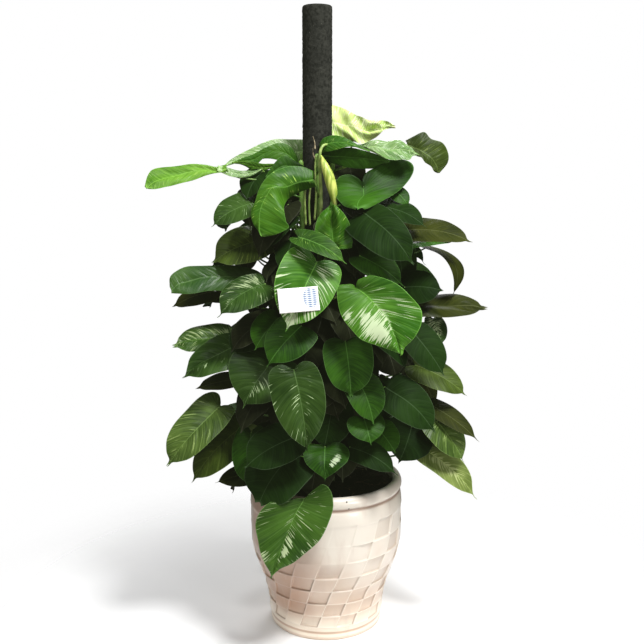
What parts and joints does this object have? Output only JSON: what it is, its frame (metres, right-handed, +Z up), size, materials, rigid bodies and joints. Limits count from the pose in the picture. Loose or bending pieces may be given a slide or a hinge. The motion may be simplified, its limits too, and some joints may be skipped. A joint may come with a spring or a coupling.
{
  "type": "potted climbing pothos on a pole",
  "caption": "Marbled climbing pothos trained up a black fibre-wrapped pole, planted in a white glazed pot with a lattice relief.",
  "frame": {"origin": "middle of the pot's underside", "axes": "+Z up along the pole, -Y towards the show side, +X to the right seen from the show side"},
  "size_m": [0.7853, 0.5827, 1.5],
  "materials": {
    "glaze": "warm white glaze, glossy, slightly uneven, with small dark pits",
    "soil": "dark crumbly potting soil",
    "sleeve": "matte black matted fibre",
    "pipe": "grey plastic pipe, hidden",
    "stem": "green stem with pale brown nodes",
    "leaf": "glossy deep green, streaked with cream on some leaves",
    "card": "smooth white card"
  },
  "bodies": {
    "root": {"pot": "glaze", "soil": "soil", "pole_pipe": "pipe", "pole_sleeve": "sleeve", "stem_front": "stem", "stem_front_right": "stem", "stem_back_right": "stem", "stem_back": "stem", "stem_back_left": "stem", "stem_front_left": "stem", "leaf_top_far_left": "leaf", "leaf_top_left": "leaf", "leaf_top_front_left": "leaf", "leaf_cream": "leaf", "leaf_top_right": "leaf", "leaf_top_right_end": "leaf", "leaf_heart_top": "leaf", "leaf_mottled_front": "leaf", "leaf_dark_right": "leaf", "leaf_olive_right": "leaf", "leaf_edge_droop": "leaf", "leaf_flat_right": "leaf", "leaf_left_high": "leaf", "leaf_left_olive": "leaf", "leaf_left_long": "leaf", "leaf_left_marbled": "leaf", "leaf_card": "leaf", "leaf_big_streaked": "leaf", "leaf_centre_low": "leaf", "leaf_right_a": "leaf", "leaf_right_b": "leaf", "leaf_right_c": "leaf", "leaf_centre_tip": "leaf", "leaf_centre_b": "leaf", "leaf_streaked_front": "leaf", "leaf_left_mid": "leaf", "leaf_left_tail": "leaf", "leaf_left_streak": "leaf", "leaf_left_ribbed": "leaf", "leaf_left_low": "leaf", "leaf_low_left": "leaf", "leaf_over_rim": "leaf", "leaf_low_centre": "leaf", "leaf_low_right": "leaf", "leaf_marbled_low": "leaf", "leaf_back_1": "leaf", "leaf_back_2": "leaf", "leaf_back_3": "leaf", "leaf_back_4": "leaf", "leaf_back_5": "leaf", "leaf_back_6": "leaf", "leaf_back_7": "leaf", "leaf_back_8": "leaf", "leaf_back_9": "leaf", "leaf_back_10": "leaf", "leaf_back_11": "leaf", "leaf_back_12": "leaf", "leaf_back_13": "leaf", "leaf_back_14": "leaf", "label_card": "card"}
  },
  "joints": []
}
